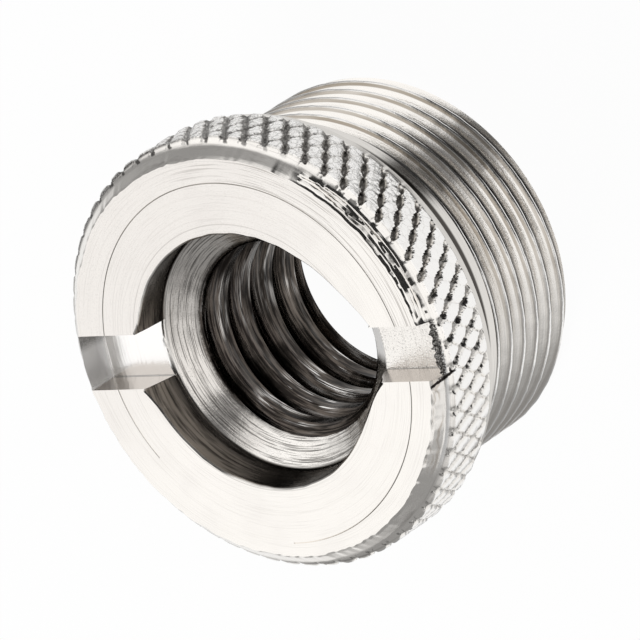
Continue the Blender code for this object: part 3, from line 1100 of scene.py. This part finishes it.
def world():
    """Soft light for the object, white for the camera, the room for the metal."""
    room = bpy.data.worlds.new("studio")
    bpy.context.scene.world = room
    room.use_nodes = True
    room.node_tree.nodes.clear()
    graph = Graph(room.node_tree)
    path = graph.node("ShaderNodeLightPath").outputs

    def background(strength):
        made = graph.node("ShaderNodeBackground")
        made.inputs["Color"].default_value = (1, 1, 1, 1)
        graph.feed(made.inputs["Strength"], strength)
        return made.outputs[0]

    seen = graph.largest(path["Is Camera Ray"], path["Is Transmission Ray"])
    surface = graph.mixed(seen, background(ROOM_LIGHT), background(1.0))
    surface = graph.mixed(path["Is Glossy Ray"], surface, background(mirrored_level(graph)))
    output = graph.node("ShaderNodeOutputWorld")
    graph.feed(output.inputs["Surface"], surface)


def stage_object(name, points, faces, material_name):
    """An object of the stage, with an empty material, and the material's graph."""
    item = linked(name, open_mesh(name, points, faces))
    material = bpy.data.materials.new(material_name)
    material.use_nodes = True
    material.node_tree.nodes.clear()
    item.data.materials.append(material)
    return item, Graph(material.node_tree)


def diffuse(graph, colour):
    paint = graph.node("ShaderNodeBsdfDiffuse")
    paint.inputs["Color"].default_value = colour
    return paint.outputs[0]


def surface_output(graph, shader):
    output = graph.node("ShaderNodeOutputMaterial")
    graph.feed(output.inputs["Surface"], shader)


# Floor. It keeps a little of the object's shadow, and the metal mirrors it
# darker in three places: behind, close by and to one side
FLOOR_RADIUS = 120.0
FLOOR_COLUMNS = 96
FLOOR_GAP = 0.02
FLOOR_COLOUR = (0.92, 0.92, 0.915, 1)
FLOOR_GLOW = 0.96
MIRRORED_SHARE = 0.8
MIRRORED_LEVEL = 0.95
FAR_TURN = math.radians(168.0)
FAR_REACH = (24.0, 44.0)
FAR_WIDTH = (0.1, 0.6)
FAR_DROP = 0.70
CLOSE_TURN = math.radians(-92.0)
CLOSE_REACH = (14.5, 16.5)
CLOSE_WIDTH = (0.55, 0.85)
CLOSE_DROP = 0.43
SIDE_TURN = math.radians(-108.0)
SIDE_REACH = (32.0, 46.0)
SIDE_WIDTH = (0.88, 0.97)
SIDE_DROP = 0.55


def floor():
    points = [(0, 0, -FLOOR_GAP)]
    faces = []
    for column in range(FLOOR_COLUMNS):
        angle = TAU * column / FLOOR_COLUMNS
        points.append((FLOOR_RADIUS * math.cos(angle), FLOOR_RADIUS * math.sin(angle), -FLOOR_GAP))
        faces.append((0, 1 + column, 1 + (column + 1) % FLOOR_COLUMNS))
    item, graph = stage_object("floor", points, faces, "pale_floor")
    path = graph.node("ShaderNodeLightPath").outputs
    share = graph.total(graph.product(path["Is Camera Ray"], FLOOR_GLOW),
                        graph.product(path["Is Glossy Ray"], MIRRORED_SHARE))
    place = graph.node("ShaderNodeTexCoord").outputs["Object"]
    away = graph.node("ShaderNodeVectorMath", operation="LENGTH")
    graph.feed(away.inputs[0], place)
    away = away.outputs["Value"]
    x, y, z = graph.parts(place)

    def darker(ease, reach, turn, width, drop):
        """How much darker one part of the floor is, by distance and direction."""
        share = graph.math("DIVIDE", graph.toward(x, y, turn), graph.largest(away, MM))
        return graph.product(ease(away, reach[0] * MM, reach[1] * MM),
                             graph.rise(share, *width), drop)

    far = darker(graph.rise, FAR_REACH, FAR_TURN, FAR_WIDTH, FAR_DROP)
    close = darker(graph.fall, CLOSE_REACH, CLOSE_TURN, CLOSE_WIDTH, CLOSE_DROP)
    side = darker(graph.rise, SIDE_REACH, SIDE_TURN, SIDE_WIDTH, SIDE_DROP)
    mirrored = graph.less(MIRRORED_LEVEL, graph.total(far, close, side))
    glow = graph.node("ShaderNodeEmission")
    graph.feed(glow.inputs["Strength"], graph.total(
        path["Is Camera Ray"], graph.product(path["Is Glossy Ray"], mirrored)))
    surface_output(graph, graph.mixed(share, diffuse(graph, FLOOR_COLOUR), glow.outputs[0]))


# A dark card on the floor, seen only by the metal
CARD_TURN = math.radians(47.0)
CARD_HALF = (math.radians(7.0), math.radians(18.0))
CARD_REACH = (8.0, 15.5)
CARD_MIDDLE = 11.5
CARD_EDGE = 1.5
CARD_LEAN = math.radians(3.0)
CARD_HEIGHT = 0.05
CARD_COLUMNS = 48
CARD_SPREAD = CARD_HALF[1] * 1.7
CARD_COLOUR = (0.09, 0.085, 0.08, 1)


def card():
    points = []
    for radius in CARD_REACH:
        for column in range(CARD_COLUMNS + 1):
            angle = CARD_TURN + CARD_SPREAD * (2 * column / CARD_COLUMNS - 1)
            points.append((radius * math.cos(angle), radius * math.sin(angle), CARD_HEIGHT))
    step = CARD_COLUMNS + 1
    faces = [(c, c + 1, step + c + 1, step + c) for c in range(CARD_COLUMNS)]
    item, graph = stage_object("card", points, faces, "black_card")
    x, y, z = graph.parts(graph.node("ShaderNodeTexCoord").outputs["Object"])
    flat = graph.length(x, y)
    lean = graph.product(graph.less(flat, CARD_MIDDLE * MM), CARD_LEAN / MM)
    aside = graph.apart(graph.less(graph.math("ARCTAN2", y, x), lean), CARD_TURN)
    inner, outer = CARD_REACH
    dense = graph.product(graph.fall(aside, *CARD_HALF),
                          graph.rise(flat, inner * MM, (inner + CARD_EDGE) * MM),
                          graph.fall(flat, (outer - CARD_EDGE) * MM, outer * MM))
    clear = graph.node("ShaderNodeBsdfTransparent")
    surface_output(graph, graph.mixed(dense, clear.outputs[0], diffuse(graph, CARD_COLOUR)))
    item.visible_camera = False
    item.visible_diffuse = False
    item.visible_shadow = False
    item.visible_transmission = False


# Lamp
LAMP_PLACE = (-0.20, -0.32, 0.34)
LAMP_SIZE = 0.22
LAMP_POWER = 1.2


def lamp(name, place, size, power):
    light = bpy.data.lights.new(name, "AREA")
    light.shape = "DISK"
    light.size = size
    light.energy = power
    item = linked(name, light)
    item.location = place
    item.rotation_mode = "QUATERNION"
    item.rotation_quaternion = Vector(place).to_track_quat("Z", "Y")
    item.visible_glossy = False
    item.visible_camera = False


bpy.context.scene.view_settings.view_transform = "Standard"
adapter = build_adapter()
adapter.data.materials.clear()
adapter.data.materials.append(plate_material())
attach(adapter, "root")
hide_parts("adapter_body")
camera()
world()
floor()
card()
lamp("key", LAMP_PLACE, LAMP_SIZE, LAMP_POWER)
